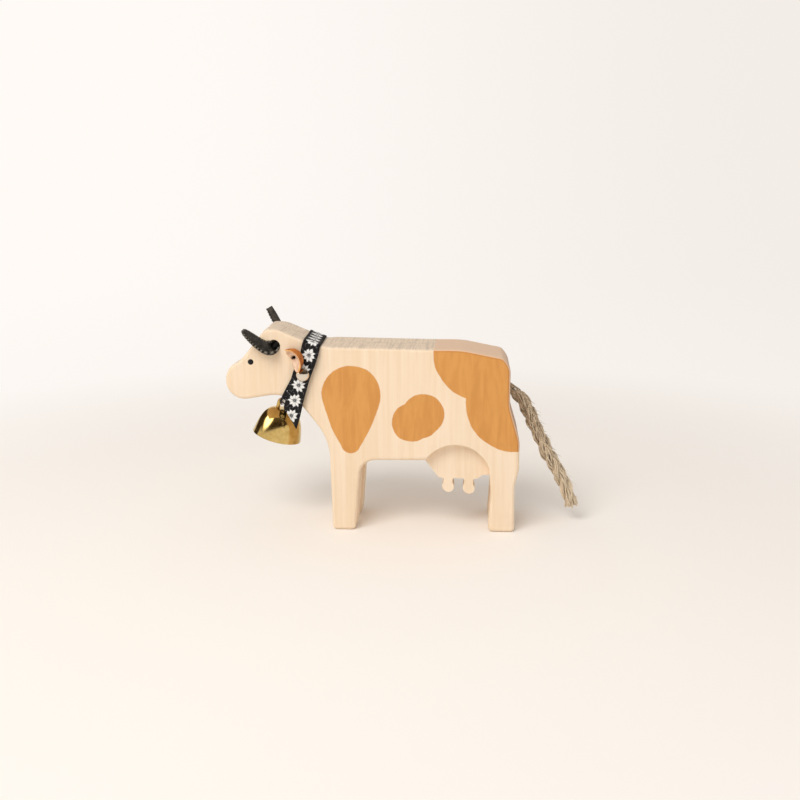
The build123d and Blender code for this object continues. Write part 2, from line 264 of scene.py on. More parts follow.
def rolledSheet(rows, steps, start, across, tooth=None, tip=0):
    # Leather rolled round a line of rows: a place, a radius, and where the roll begins and ends in degrees
    line = smoothRows(rows, steps)
    points = [point(*row[:3]) for row in line]
    alongs = [Vector((math.cos(tip), math.sin(tip), 0))] * len(points)
    uprights = [Vector((0, 0, 1))] * len(points)
    if start is not None:
        alongs = carried(points, start * steps, alongs[0])
        uprights = carried(points, start * steps, uprights[0])
    runs = runsOf(points)

    def place(u, v):
        i = round(u * (len(line) - 1))
        radius, first, last = line[i][3:]
        angle = math.radians(first + (last - first) * v)
        if tooth:
            angle, radius = tooth(runs[i], v, angle, radius)
        out = math.cos(angle) * alongs[i] + math.sin(angle) * uprights[i]
        return points[i] + out * radius * mm, (runs[i], angle * radius)

    return bentSheet(len(line) - 1, across, place)


# Wooden body: sawn board, bare sides, greyer end grain on top, three painted patches
wood = {
    "sideLight": rgb(244, 223, 197),
    "sideDark": rgb(237, 211, 179),
    "topLight": rgb(238, 217, 193),
    "topDark": rgb(212, 190, 166),
    "paintLight": rgb(217, 153, 77),
    "paintDark": rgb(207, 141, 67),
    "paintEnd": rgb(224, 189, 158),
    # painted shade: darker paint on faces turned to the back
    "paintBackShade": rgb(196, 152, 116),
    # painted shade: darker paint along the rounded edges
    "paintRimShade": rgb(196, 126, 54),
    "grainLine": rgb(224, 194, 158),
    "sawMark": rgb(190, 172, 154),
    "sawLeans": (0.75, -0.6),
    "paintEdge": 0.25,
    "wobble": (0.12, 1.0),   # how close together the brush edge's waves are, and how deep in millimetres
    "fineWobble": (1.1, 0.25),
    "streakScale": (0.55, 0.55, 0.018),   # grain, per millimetre along, across and up
    "broadScale": (0.045, 0.06, 0.012),
    "poreScale": (2.4, 2.4, 0.09),
    "scratchScale": (0.55, 0.10, 1),
    "ringScale": (0.10, 0.55, 0.02),
    "sawScale": (1.3, 0.05, 0.3),
    "brushScale": (0.30, 0.30, 0.05),
    "scratchLean": 0.9,
    "topFacing": (0.45, 0.85),   # parts of a face's direction, where a look begins and where it is full
    "backFacing": (0.75, 0.98),
    "sideFacing": (0.74, 0.9),
    "flatFacing": (0.95, 0.999),
    "grainDepth": 0.00010,
}
patches = {   # round ends in millimetres: along, up, radius
    "shoulder": [(-8.8, 59.0, 12.4), (-9.5, 38.0, 4.0)],
    "bulge": 0.6,
    "flank": [(16.3, 47.7, 8.3), (21.1, 51.1, 8.7)],
    "rump": [(44.8, 76.8, 19.5), (59.2, 55.9, 20.5)],
}


def ringDistance(x, z, ring):
    acrossX, upZ, radius = ring
    return ((x - acrossX) ** 2 + (z - upZ) ** 2) ** 0.5 - radius


def spotDistance(x, z, rings):
    nearest = ringDistance(x, z, rings[0])
    for ring in rings[1:]:
        nearest = nearest.least(ringDistance(x, z, ring))
    return nearest


def taperDistance(x, z, upper, lower):
    # Distance to two circles and the bulging sides between them
    run = [upper[i] - lower[i] for i in range(3)]
    flare = run[2] / math.sqrt(run[1] ** 2 - run[2] ** 2)
    aside = (x - (upper[0] + lower[0]) / 2).size()
    share = z.calc("DIVIDE", z - lower[1] + aside * flare, run[1], clamp=True)
    middleX = share * run[0] + lower[0]
    middleZ = share * run[1] + lower[1]
    radius = share * run[2] + (share * math.pi).wave() * patches["bulge"] + lower[2]
    return ((x - middleX) ** 2 + (z - middleZ) ** 2) ** 0.5 - radius


def bridgeDistance(x, z, first, second):
    # Distance to the straight lower side that joins two circles
    gap = math.hypot(second[0] - first[0], second[1] - first[1])
    alongX, alongZ = (second[0] - first[0]) / gap, (second[1] - first[1]) / gap
    across = x - (first[0] + second[0]) / 2
    up = z - (first[1] + second[1]) / 2
    along = across * alongX + up * alongZ
    below = across * alongZ - up * alongX
    bulge = ((along / gap + 0.5) * math.pi).wave() * patches["bulge"]
    side = along * ((first[2] - second[2]) / gap) + below - (first[2] + second[2]) / 2 - bulge
    return side.most(below * -1).most(along.size() - gap / 2)


def paintMask(spot):
    scale, depth = wood["wobble"]
    fineScale, fineDepth = wood["fineWobble"]
    shift = (spot.noise(scale, 2) - 0.5) * depth
    fine = (spot.noise(fineScale, 1) - 0.5) * fineDepth
    x, y, z = spot.split()
    x = x + shift + fine
    z = z + shift - fine
    shoulder = taperDistance(x, z, *patches["shoulder"])
    rest = spotDistance(x, z, patches["flank"] + patches["rump"])
    bridge = bridgeDistance(x, z, *patches["flank"])
    return shoulder.least(rest).least(bridge).inside(wood["paintEdge"])


def paintedWood():
    made, start = startMaterial("painted_beech", Specular_IOR_Level=0.32)
    spot = millimetres(start)
    alongX, acrossY, upZ = start.node("ShaderNodeTexCoord", out="Normal").split()
    onTop = upZ.ease(*wood["topFacing"])
    onSide = acrossY.size().ease(*wood["sideFacing"])
    onFlat = acrossY.size().ease(*wood["flatFacing"])
    streak = spot.mapped(wood["streakScale"]).noise(1, 4, 0.6, 0.3)
    broad = spot.mapped(wood["broadScale"]).noise(1, 2, 0.5)
    pores = spot.mapped(wood["poreScale"]).noise(1, 3, 0.7).ease(0.58, 0.72)
    tone = streak * 0.55 + broad * 0.45
    side = tone.ease(0.36, 0.68).tint(wood["sideDark"], wood["sideLight"])
    side = (pores * 0.35).tint(side, wood["grainLine"])
    scratches = spot.mapped(wood["scratchScale"], (0, 0, wood["scratchLean"])).noise(2.4, 3, 0.65)
    rings = spot.mapped(wood["ringScale"]).noise(1, 2, 0.5)
    endTone = scratches * 0.6 + rings * 0.4
    top = endTone.ease(0.28, 0.72).tint(wood["topDark"], wood["topLight"])
    cuts = []
    for lean in wood["sawLeans"]:
        cuts.append(spot.mapped(wood["sawScale"], (0, 0, lean)).noise(1, 2, 0.55, 0.2))
    sawn = cuts[0].most(cuts[1]).ease(0.56, 0.66)
    top = (sawn * 0.5).tint(top, wood["sawMark"])
    bare = onTop.tint(side, top)
    brush = spot.mapped(wood["brushScale"]).noise(1, 4, 0.6, 0.6)
    coat = brush.ease(0.35, 0.66).tint(wood["paintDark"], wood["paintLight"])
    # painted shade: paint on faces turned to the back, away from the lamp, is made darker brown
    end = alongX.ease(*wood["backFacing"]).tint(wood["paintEnd"], wood["paintBackShade"])
    coat = onSide.tint(end, coat)
    # painted shade: the paint is darker on the rounded band between the side and the edge faces
    rim = onSide * (1 - onFlat)
    coat = (rim * 0.8).tint(coat, wood["paintRimShade"])
    mask = paintMask(spot)
    colour = (mask * 0.97).tint(bare, coat)
    gloss = 0.56 - mask * 0.10 + streak * 0.10
    height = streak * 0.5 - pores * 0.35 - sawn * onTop * 0.5
    skin = height.raised(wood["grainDepth"], 0.55)
    return finishMaterial(made, Base_Color=colour, Roughness=gloss, Normal=skin)


trim = {   # shifts of the sawn outline in millimetres, and where each begins and is full, or ends
    "legBox": (-10.6, -1.0, -0.1, 33),   # from and to along, from and to up
    "legFoot": 0.6,
    "legTop": 2.65,
    "legBend": 24,
    "udderBox": (18.5, 46, -0.1, 31.1),
    "udderHalf": 11.2,
    "udderBack": 1.1,
    "udderFront": 0.6,
    "udderFrontUp": (23, 31),
    "udderEnd": (42, 47),
    "teatTilt": 0.08,
    "teatMiddle": 35.5,
    "teatTop": (19.5, 23.5),
    "rumpRise": 1.4,
    "rumpStart": (25, 45),
    "rumpEnd": (53, 57.2),
    "rumpUp": (58, 70),
    "pollDrop": (0.4, 1.2),   # at the poll and down the neck
    "pollDropRun": (-42, -32),
    "pollDropEnd": (-24, -17),
    "pollSkew": 2.6,
    "pollSkewStart": (-58, -53),
    "pollSkewEnd": (-43, -31),
    "pollUp": (82.2, 84.5),   # above the horns' hole
    "neckUp": (76.5, 79),   # above the ears' holes
    "neckFrom": -36,
    "foreheadEnd": -44.5,
    "foreheadUp": 70,
    "pocket": (34.48, 22.8, 15.0),   # along, up, radius
    "pocketHair": 0.05,
    "pocketRise": 0.5,
    "pocketDepth": 10.9,
    "pocketCorner": (46.0, 28.5, 2.7),   # from along, from up, how far outside the arc
}


def blend(value, low, high):
    share = max(0, min(1, (value - low) / (high - low)))
    return share * share * (3 - 2 * share)


def inBox(x, z, box):
    return box[0] < x < box[1] and box[2] < z < box[3]


def pocketEdge(x, z):
    # The udder's pocket kept round down to the rear leg, and a little higher at its crown
    middleX, middleZ, radius = trim["pocket"]
    across, up = x - middleX, z - middleZ
    reach = math.hypot(across, up)
    cornerX, cornerZ, margin = trim["pocketCorner"]
    onCorner = x > cornerX and z > cornerZ and radius < reach < radius + margin
    onArc = abs(reach - radius) <= trim["pocketHair"]
    if up < trim["pocketHair"] or not (onCorner or onArc):
        return x, z
    grown = radius + trim["pocketRise"] * up / reach
    return middleX + across * grown / reach, middleZ + up * grown / reach


def pollEdge(x, y, z):
    # The poll sawn askew: its far edge lower and further forward than its near one
    farShare = (1 + y * mm / sideFace) / 2
    crest = blend(z, *trim["neckUp" if x > trim["neckFrom"] else "pollUp"])
    onForehead = x < trim["foreheadEnd"] and z > trim["foreheadUp"]
    least, most = trim["pollDrop"]
    drop = least + (most - least) * blend(x, *trim["pollDropRun"])
    drop *= crest * (1 - blend(x, *trim["pollDropEnd"]))
    skew = trim["pollSkew"] * blend(x, *trim["pollSkewStart"]) * (1 - blend(x, *trim["pollSkewEnd"]))
    skew *= 1 if onForehead else crest
    return x - skew * farShare, z - drop * farShare


def udderEdge(x, z):
    # The udder further back, its front most, and the rear teat a little lower
    loose = 1 - blend(x, *trim["udderEnd"])
    tilt = trim["teatTilt"] * (trim["teatMiddle"] - x) * (1 - blend(z, *trim["teatTop"]))
    back = trim["udderBack"] + trim["udderFront"] * blend(z, *trim["udderFrontUp"])
    return x + back * loose, z + tilt * loose


def trimmed(x, y, z):
    # A point of the CAD outline moved to where the saw went: pocket, poll, front legs, udder and rump
    if abs(y) > trim["pocketDepth"]:
        x, z = pocketEdge(x, z)
    x, z = pollEdge(x, y, z)
    if inBox(x, z, trim["legBox"]):
        x += trim["legFoot"] + (trim["legTop"] - trim["legFoot"]) * min(1, z / trim["legBend"])
    elif inBox(x, z, trim["udderBox"]) and abs(y) < trim["udderHalf"]:
        x, z = udderEdge(x, z)
    onRump = blend(x, *trim["rumpStart"]) * (1 - blend(x, *trim["rumpEnd"])) * blend(z, *trim["rumpUp"])
    return point(x, y, z + trim["rumpRise"] * onRump)


def carvedBody():
    shape = bmesh.new()
    shape.from_mesh(frame["nodes"]["wooden_body"].data)
    bmesh.ops.remove_doubles(shape, verts=shape.verts, dist=1e-6)
    bmesh.ops.dissolve_limit(shape, angle_limit=math.radians(0.3), verts=shape.verts, edges=shape.edges)
    for vertex in shape.verts:
        vertex.co = trimmed(*(vertex.co / mm))
    body = addPiece("carvedBody", shape, "cow", paintedWood(), sharp=26)
    even = body.modifiers.new("evenFlats", "WEIGHTED_NORMAL")
    even.keep_sharp = True
    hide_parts("wooden_body")


carvedBody()
print("wooden body dressed")


# Eyes: a glossy drop of black paint on each side
eye = {
    "along": -50.3,
    "up": 72.7,
    "radius": 1.18,
    "height": 0.28,
    "dark": rgb(12, 10, 10),
    "light": rgb(34, 30, 28),
}


def eyePaint():
    made, start = startMaterial("eye_paint", Specular_IOR_Level=0.25)
    cloud = millimetres(start).noise(1.6, 2)
    colour = cloud.tint(eye["dark"], eye["light"])
    return finishMaterial(made, Base_Color=colour, Roughness=0.35 + cloud * 0.15)


def eyeDrops():
    paint = eyePaint()
    for side, name in ((-1, "eyeLeft"), (1, "eyeRight")):
        drop = bmesh.new()
        bmesh.ops.create_uvsphere(drop, u_segments=32, v_segments=16, radius=eye["radius"] * mm)
        flat = Matrix.Diagonal((1, eye["height"] / eye["radius"], 1, 1))
        place = Matrix.Translation(point(eye["along"], side * sideFace / mm, eye["up"]))
        bmesh.ops.transform(drop, matrix=place @ flat, verts=drop.verts)
        addPiece(name, drop, "cow", paint)


eyeDrops()
print("eyes painted")


# Horns: one black strip through the head, rolled to a gutter, its lower edge pinked
horn = {
    "wall": 0.95,
    "rows": [   # near tip to far tip: along, out, up, radius of the roll, its first and last angle
        (-51.4, -18.8, 87.0, 1.4, 176, 230),
        (-50.6, -18.8, 86.3, 2.0, 160, 248),
        (-47.8, -18.8, 84.1, 2.7, 154, 258),
        (-44.8, -18.7, 81.7, 3.0, 149, 266),
        (-42.5, -18.2, 80.1, 3.05, 141, 282),
        (-41.0, -17.0, 79.4, 2.85, 132, 322),
        (-40.4, -15.5, 79.4, 2.25, 122, 338),
        (-40.35, -13.0, 79.4, 2.05, 116, 338),
        (-40.35, 0.0, 79.4, 2.05, 116, 334),
        (-40.35, 13.0, 79.4, 2.05, 116, 290),
        (-40.4, 15.6, 79.4, 2.05, 128, 260),
        (-40.9, 17.4, 80.0, 2.1, 122, 250),
        (-42.8, 18.7, 81.8, 2.1, 108, 220),
        (-45.1, 19.0, 84.4, 2.1, 94, 194),
        (-47.4, 19.0, 88.0, 2.0, 84, 180),
        (-49.4, 19.0, 91.4, 1.7, 80, 172),
    ],
    "middle": 8,
    "steps": 26,
    "across": 26,
    "toothPitch": 1.3,
    "toothDepth": 0.6,
    "toothFrom": 0.9,   # share of the way round the roll
    "groove": 0.22,
    "grooveAt": 0.78,
    "grooveHalf": 0.035,
    "inHead": (13.6, 16.4),   # out from the middle, where the painted shade inside the hole ends
    "paintedHoleShade": rgb(8, 7, 7),
    "dark": rgb(34, 31, 28),
    "rubbed": rgb(86, 80, 71),
    "edgeDark": rgb(30, 28, 25),
    "edgeLight": rgb(120, 113, 101),
}


def hornTooth(run, v, angle, radius):
    # Pinked last edge, with a groove beside it
    wave = 0.5 - 0.5 * math.cos(2 * math.pi * run / horn["toothPitch"])
    edge = max(0, (v - horn["toothFrom"]) / (1 - horn["toothFrom"]))
    groove = math.exp(-((v - horn["grooveAt"]) / horn["grooveHalf"]) ** 2)
    return angle - horn["toothDepth"] / radius * wave * edge, radius + horn["groove"] * groove


def hornLeather():
    made, start = startMaterial("horn_leather", Specular_IOR_Level=0.45)
    spot = millimetres(start)
    grain = spot.noise(3.2, 4, 0.65)
    rub = spot.noise(0.45, 3, 0.6)
    streak = (rub * 0.6 + grain * 0.4).ease(0.35, 0.75)
    colour = streak.tint(horn["dark"], horn["rubbed"])
    # painted shade: the leather inside the head's hole is darkened to near black
    colour = spot.split()[1].size().ease(*horn["inHead"]).tint(horn["paintedHoleShade"], colour)
    skin = grain.raised(0.00012, 0.7)
    return finishMaterial(made, Base_Color=colour, Roughness=0.62 - streak * 0.16, Normal=skin)


def hornCutEdge():
    made, start = startMaterial("horn_cut_edge", Specular_IOR_Level=0.3)
    fibre = millimetres(start).noise(3.5, 3, 0.7)
    run = start.node("ShaderNodeUVMap", {"uv_map": "UVMap"}).split()[0]
    # painted light and shade: the cut edge is lighter at each tooth's tip and darker in the notches, in step
    # with the pinking
    crest = (run * (2 * math.pi / horn["toothPitch"]) + math.pi / 2).wave() * 0.35
    colour = (fibre + crest).ease(0.2, 0.8).tint(horn["edgeDark"], horn["edgeLight"])
    skin = fibre.raised(0.00010, 0.6)
    return finishMaterial(made, Base_Color=colour, Roughness=0.75 + fibre * 0.15, Normal=skin)


def hornPair():
    sheet = rolledSheet(horn["rows"], horn["steps"], horn["middle"], horn["across"], hornTooth)
    piece = addPiece("hornStrip", sheet, "cow", hornLeather(), hornCutEdge())
    thicken(piece, horn["wall"] * mm, rim=1, even=False)
    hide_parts("horn_strip")


hornPair()
print("horns rolled")


# Ears: leather rolled to a stem, opening to a cup tipped towards its open side
ear = {
    "wall": 0.95,
    "rows": [   # along, out, up, radius of the roll, its first and last angle
        (-31.95, -8.0, 74.87, 0.85, -130, 184),
        (-31.95, -12.0, 74.87, 0.85, -130, 184),
        (-31.95, -15.1, 74.87, 1.0, -130, 184),
        (-31.8, -16.0, 74.8, 1.75, -122, 180),
        (-31.8, -16.7, 74.6, 3.0, -100, 160),
        (-31.8, -17.2, 74.4, 3.9, -92, 150),
        (-32.3, -17.9, 74.0, 4.5, -76, 130),
        (-34.2, -18.6, 72.6, 5.6, -36, 98),
    ],
    "tip": 16,
    "steps": 3,
    "across": 14,
    "inHead": (15.1, 16.2),   # out from the middle, where the painted shade on the stem inside the head ends
    "paintedHoleShade": rgb(34, 22, 14),
    "tanDark": rgb(140, 70, 22),
    "tanLight": rgb(202, 122, 46),
    "fleshDark": rgb(206, 168, 138),
    "fleshLight": rgb(242, 214, 190),
    "edgeDark": rgb(220, 150, 80),
    "edgeLight": rgb(246, 202, 142),
}


def tanLeather():
    made, start = startMaterial("ear_leather", Specular_IOR_Level=0.45)
    spot = millimetres(start)
    cells = spot.noise(5.5, 4, 0.6)
    tone = spot.noise(0.5, 3)
    colour = (tone * 0.7 + cells * 0.3).ease(0.3, 0.7).tint(ear["tanDark"], ear["tanLight"])
    skin = cells.raised(0.00008, 0.5)
    return finishMaterial(made, Base_Color=colour, Roughness=0.42 + cells * 0.15, Normal=skin)


def fleshSide():
    made, start = startMaterial("ear_flesh_side", Specular_IOR_Level=0.2)
    spot = millimetres(start)
    nap = spot.noise(7, 4, 0.75)
    tone = spot.noise(0.7, 2)
    colour = (nap * 0.5 + tone * 0.5).ease(0.3, 0.7).tint(ear["fleshDark"], ear["fleshLight"])
    # painted shade: the flesh side is darkened where the stem sits inside the head's hole
    colour = spot.split()[1].size().ease(*ear["inHead"]).tint(ear["paintedHoleShade"], colour)
    skin = nap.raised(0.00010, 0.6)
    return finishMaterial(made, Base_Color=colour, Roughness=0.85 + nap * 0.1, Normal=skin)


def cutEdge():
    made, start = startMaterial("ear_cut_edge", Specular_IOR_Level=0.3)
    fibre = millimetres(start).noise(4, 3, 0.7)
    colour = fibre.ease(0.3, 0.7).tint(ear["edgeDark"], ear["edgeLight"])
    skin = fibre.raised(0.00006, 0.5)
    return finishMaterial(made, Base_Color=colour, Roughness=0.6 + fibre * 0.2, Normal=skin)


def earPair():
    leathers = (tanLeather(), fleshSide(), cutEdge())
    for side, name in ((-1, "left"), (1, "right")):
        rows = [(row[0], -side * row[1], *row[2:]) for row in ear["rows"]]
        tip = math.radians(ear["tip"]) * side
        sheet = rolledSheet(rows, ear["steps"], None, ear["across"], tip=tip)
        if side < 0:
            bmesh.ops.reverse_faces(sheet, faces=sheet.faces)
        piece = addPiece("ear_cup_" + name, sheet, "cow", *leathers)
        thicken(piece, ear["wall"] * mm, rim=2, inner=1)
        soften(piece, 2)
        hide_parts("ear_" + name)


earPair()
print("ears rolled")


# Tail: three strands of hemp yarns laid round the route, spread at the cut end
tail = {
    "route": [
        (49.16, 0, 66.66), (61.4, 0, 56.9), (65.5, 0, 51.4), (69.0, 0, 44.5), (72.4, 0, 37.2),
        (76.2, 0, 30.0), (80.4, 0, 22.4), (84.2, 0, 14.6), (86.3, 0, 7.6),
    ],
    "diameter": 4.2,
    "length": 70.0,
    "lay": 21.0,
    "strands": 3,
    "strandRadius": 1.12,
    "yarns": 19,
    "yarnOrbit": 1.36,
    "yarnLay": 14.0,
    "yarnRadius": 0.28,
    "plugged": (11.0, 17.0),
    "plugShare": 0.80,
    "slackAt": 42.0,
    "slackReach": 26.0,
    "slack": 0.27,
    "sag": Vector((-1.05, 0, -0.55)),
    "sagFrom": (10.0, 34.0),
    "fray": 7.5,
    "fraySpread": 0.26,
    "strays": 110,
    "strayRadius": 0.09,
    "step": 0.32,
    "dark": rgb(142, 120, 94),
    "light": rgb(228, 209, 181),
    "low": rgb(238, 220, 192),   # painted light: paler nearer the floor, the upper tail left darker
    "paintedLightFrom": (12, 52),
}


def tailLine():
    curve = bpy.data.curves.new("tailRoute", "CURVE")
    curve.dimensions = "3D"
    curve.resolution_u = 24
    spline = curve.splines.new("NURBS")
    spline.points.add(len(tail["route"]) - 1)
    for knot, place in zip(spline.points, tail["route"]):
        knot.co = (*point(*place), 1)
    spline.order_u = 3
    spline.use_endpoint_u = True
    mesh = curveMesh("tailRoute", curve)
    points = [vertex.co.copy() for vertex in mesh.vertices]
    bpy.data.meshes.remove(mesh)
    return points


def curveMesh(name, curve):
    holder = bpy.data.objects.new(name + "Line", curve)
    bpy.context.scene.collection.objects.link(holder)
    bpy.context.view_layer.update()
    mesh = bpy.data.meshes.new_from_object(holder.evaluated_get(bpy.context.evaluated_depsgraph_get()))
    bpy.data.objects.remove(holder)
    return mesh


def evenly(points, step):
    # Places along a line at a steady step, with the distance from its start
    places = []
    travelled = 0
    target = 0
    for first, second in zip(points, points[1:]):
        run = (second - first).length
        while target <= travelled + run:
            places.append((first.lerp(second, (target - travelled) / run), target))
            target += step
        travelled += run
    return places, travelled


def yarnTubes(name, routes, radius, sides, material):
    curve = bpy.data.curves.new(name, "CURVE")
    curve.dimensions = "3D"
    curve.bevel_depth = radius * mm
    curve.bevel_resolution = sides
    curve.use_fill_caps = True
    for route in routes:
        spline = curve.splines.new("POLY")
        spline.points.add(len(route) - 1)
        for knot, (place, thickness) in zip(spline.points, route):
            knot.co = (*place, 1)
            knot.radius = thickness
    mesh = curveMesh(name, curve)
    mesh.name = name
    mesh.materials.clear()
    mesh.materials.append(material)
    mesh.shade_smooth()
    piece = bpy.data.objects.new(name, mesh)
    bpy.context.scene.collection.objects.link(piece)
    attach(piece, "cow")
    return piece


def hempFibre():
    made, start = startMaterial("hemp_fibre", Specular_IOR_Level=0.25)
    spot = millimetres(start)
    fibre = spot.mapped(scale=(1.6, 1.6, 0.5), turn=(0, 0.45, 0)).noise(2.2, 4, 0.7)
    patch = spot.noise(0.35, 3)
    tone = (fibre * 0.65 + patch * 0.35).ease(0.32, 0.68)
    colour = tone.tint(tail["dark"], tail["light"])
    # painted light: the rope is paler towards the floor and darker higher up under the rump
    low = 1 - spot.split()[2].ease(*tail["paintedLightFrom"])
    colour = (low * 0.5).tint(colour, tail["low"])
    skin = fibre.raised(0.00012, 0.8)
    return finishMaterial(made, Base_Color=colour, Roughness=0.82 + fibre * 0.12, Normal=skin)


def tailYarn(places, total, strand, yarn, chance):
    # One yarn's places and thickness, going round its strand while the strand goes round the rope
    aside = Vector((0, 1, 0))
    wander = chance.uniform(-0.5, 0.5)
    stop = total - chance.uniform(0, 0.9) * mm
    splay = Vector([chance.uniform(-0.3, 0.3) for _ in range(3)])
    orbit = tail["yarnOrbit"] * chance.uniform(0.35, 1.08)
    girth = chance.uniform(0.85, 1.15)
    sway = chance.uniform(0, 2 * math.pi)
    route = []
    for i, (place, run) in enumerate(places):
        if run > stop:
            break
        ahead = places[min(i + 1, len(places) - 1)][0]
        behind = places[max(i - 1, 0)][0]
        upward = (ahead - behind).normalized().cross(aside)
        loose = max(0, 1 - (total - run) / (tail["fray"] * mm)) ** 2
        turn = 2 * math.pi * (run / (tail["lay"] * mm) + strand / tail["strands"])
        own = 2 * math.pi * (yarn / tail["yarns"] - run / (tail["yarnLay"] * mm)) + turn + wander
        own += 0.45 * math.sin(run / mm * 0.4 + sway)
        slack = tail["slack"] * math.exp(-((run / mm - tail["slackAt"]) / tail["slackReach"]) ** 2)
        plug = tail["plugShare"] + (1 - tail["plugShare"]) * blend(run / mm, *tail["plugged"])
        spread = plug + slack + loose * tail["fraySpread"]
        core = (math.cos(turn) * aside + math.sin(turn) * upward) * tail["strandRadius"] * spread
        ring = (math.cos(own) * aside + math.sin(own) * upward) * orbit * spread
        wobble = 1 + 0.06 * math.sin(run / mm * 1.7 + yarn * 2.1 + strand)
        hang = blend(run / mm, *tail["sagFrom"])
        offset = core + ring * wobble + splay * loose + tail["sag"] * hang
        route.append((place + offset * mm, girth * (plug + 0.25 * slack - 0.1 * loose)))
    return route


def strayHair(places, chance):
    place = places[chance.randrange(int(0.2 * len(places)), len(places))][0]
    turn = chance.uniform(0, 2 * math.pi)
    out = math.cos(turn) * Vector((0, 1, 0)) + math.sin(turn) * Vector((0.85, 0, 0.5))
    down = Vector((0.45, 0, -0.9))
    reach = chance.uniform(1.6, 4.2)
    bend = chance.uniform(-0.6, 0.8)
    hair = []
    for k in range(7):
        share = k / 6
        step = out * (1.6 + reach * share * 0.55) + down * reach * (share + bend * share * share) * 0.6
        hair.append((place + step * mm, 1 - 0.7 * share))
    return hair


def hempTail():
    chance = random.Random(7)
    line = tailLine()
    places, total = evenly(line, tail["step"] * mm)
    routes = []
    for strand in range(tail["strands"]):
        for yarn in range(tail["yarns"]):
            routes.append(tailYarn(places, total, strand, yarn, chance))
    fibre = hempFibre()
    rope = yarnTubes("tailRope", routes, tail["yarnRadius"], 1, fibre)
    hairs = [strayHair(places, chance) for _ in range(tail["strays"])]
    strays = yarnTubes("tailStrayFibres", hairs, tail["strayRadius"], 0, fibre)
    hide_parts("tail_rope")
    tail["length"] * mm
    tail["diameter"] * mm
    print("tail length", round(total / mm, 2))


hempTail()
print("tail laid")


# Collar: one woven ribbon from its slanted free end over the neck, through the bell's link, to the rivet
ribbon = {
    "width": 7.4,
    "thickness": 0.42,
    "slant": 7.2,
    "steps": 10,
    "across": 16,
    "rows": [   # along, out, up, lean of the width in degrees, its twist, share of the width, fold depth
        (-35.3, -16.8, 45.85, 16, 0, 1, 0),
        (-33.75, -16.8, 50.6, 16, 0, 1, 0),
        (-32.1, -16.75, 57.2, 16, 0, 1, 0),
        (-30.2, -16.7, 63.7, 17, 0, 1, 0),
        (-28.75, -16.7, 68.1, 18, 0, 1, 0),
        (-27.2, -16.5, 71.8, 18, -6, 1, 0),
        (-25.9, -16.35, 75.3, 14, -6, 1, 0),
        (-25.2, -16.15, 78.0, 14, -3, 1, 0),
        (-24.8, -15.8, 79.7, 16, 0, 1, 0),
        (-24.55, -14.6, 80.75, 18, 0, 1, 0),
        (-24.6, -12.0, 81.0, 19, 0, 1, 0),
        (-25.5, 0.0, 80.9, 20, 0, 1, 0),
        (-26.5, 12.0, 80.8, 21, 0, 1, 0),
        (-26.75, 14.6, 80.6, 21, 0, 1, 0),
        (-27.0, 15.6, 79.6, 20, 0, 1, 0),
        (-27.4, 15.8, 78.2, 19, 0, 1, 0),
        (-28.5, 15.8, 74.4, 18, 0, 1, 0),
        (-29.9, 15.8, 69.0, 20, 0, 1, 0),
        (-31.4, 15.8, 63.6, 24, 0, 1, 0),
        (-33.2, 15.8, 59.0, 28, 0, 1, 0),
        (-34.9, 14.8, 55.8, 33, 0, 1, 0),
        (-36.6, 11.0, 53.8, 34, 0, 0.95, 0.1),
        (-38.3, 6.4, 52.4, 34, 0, 0.72, 0.3),
        (-39.3, 2.6, 51.75, 34, 0, 0.46, 0.45),
        (-39.58, 0.0, 51.6, 34, 0, 0.44, 0.45),
        (-39.3, -2.6, 51.75, 34, 0, 0.46, 0.45),
        (-38.3, -6.4, 52.4, 34, 0, 0.72, 0.3),
        (-36.6, -11.0, 53.8, 34, 0, 0.95, 0.1),
        (-34.9, -15.0, 55.8, 33, 0, 1, 0),
        (-33.1, -16.05, 59.0, 29, 0, 1, 0),
        (-31.2, -16.1, 62.6, 25, 0, 0.98, 0),
        (-29.6, -16.1, 66.0, 20, 0, 0.9, 0),
        (-29.1, -16.1, 67.4, 18, 0, 0.86, 0),
    ],
    "pitch": 6.66,
    "firstFlower": 4.9,
    "petals": 9,
    "petalStart": 0.45,
    "petalLength": 2.8,
    "petalHalfWidth": 0.58,
    "ragged": 0.7,
    "thread": 0.30,
    "black": rgb(13, 12, 14),
    "white": rgb(250, 249, 246),
    "blackLint": rgb(38, 36, 39),
    "whiteShade": rgb(222, 220, 217),
    "folds": 5,
}


def ribbonSheet():
    line = smoothRows(ribbon["rows"], ribbon["steps"])
    points = [point(*row[:3]) for row in line]
    tangents = tangentsOf(points)
    runs = runsOf(points)

    def place(u, v):
        first = ribbon["slant"] * (1 - v)
        run = first + (runs[-1] - first) * u
        i = min(bisect(runs, run), len(runs) - 1)
        share = (run - runs[i - 1]) / (runs[i] - runs[i - 1])
        x, y, z, lean, twist, width, fold = [a + (b - a) * share for a, b in zip(line[i - 1], line[i])]
        tangent = tangents[i - 1].lerp(tangents[i], share).normalized()
        tip = math.radians(lean)
        across = Vector((math.cos(tip), 0, -math.sin(tip)))
        across = (across - across.dot(tangent) * tangent).normalized()
        across = Matrix.Rotation(math.radians(twist), 3, tangent) @ across
        out = across.cross(tangent)
        flat = (v - 0.5) * ribbon["width"]
        crease = fold * math.sin(v * ribbon["folds"] * math.pi)
        return point(x, y, z) + (across * flat * width + out * crease) * mm, (run, flat)

    columns = (len(ribbon["rows"]) - 1) * ribbon["steps"]
    return bentSheet(columns, ribbon["across"], place)


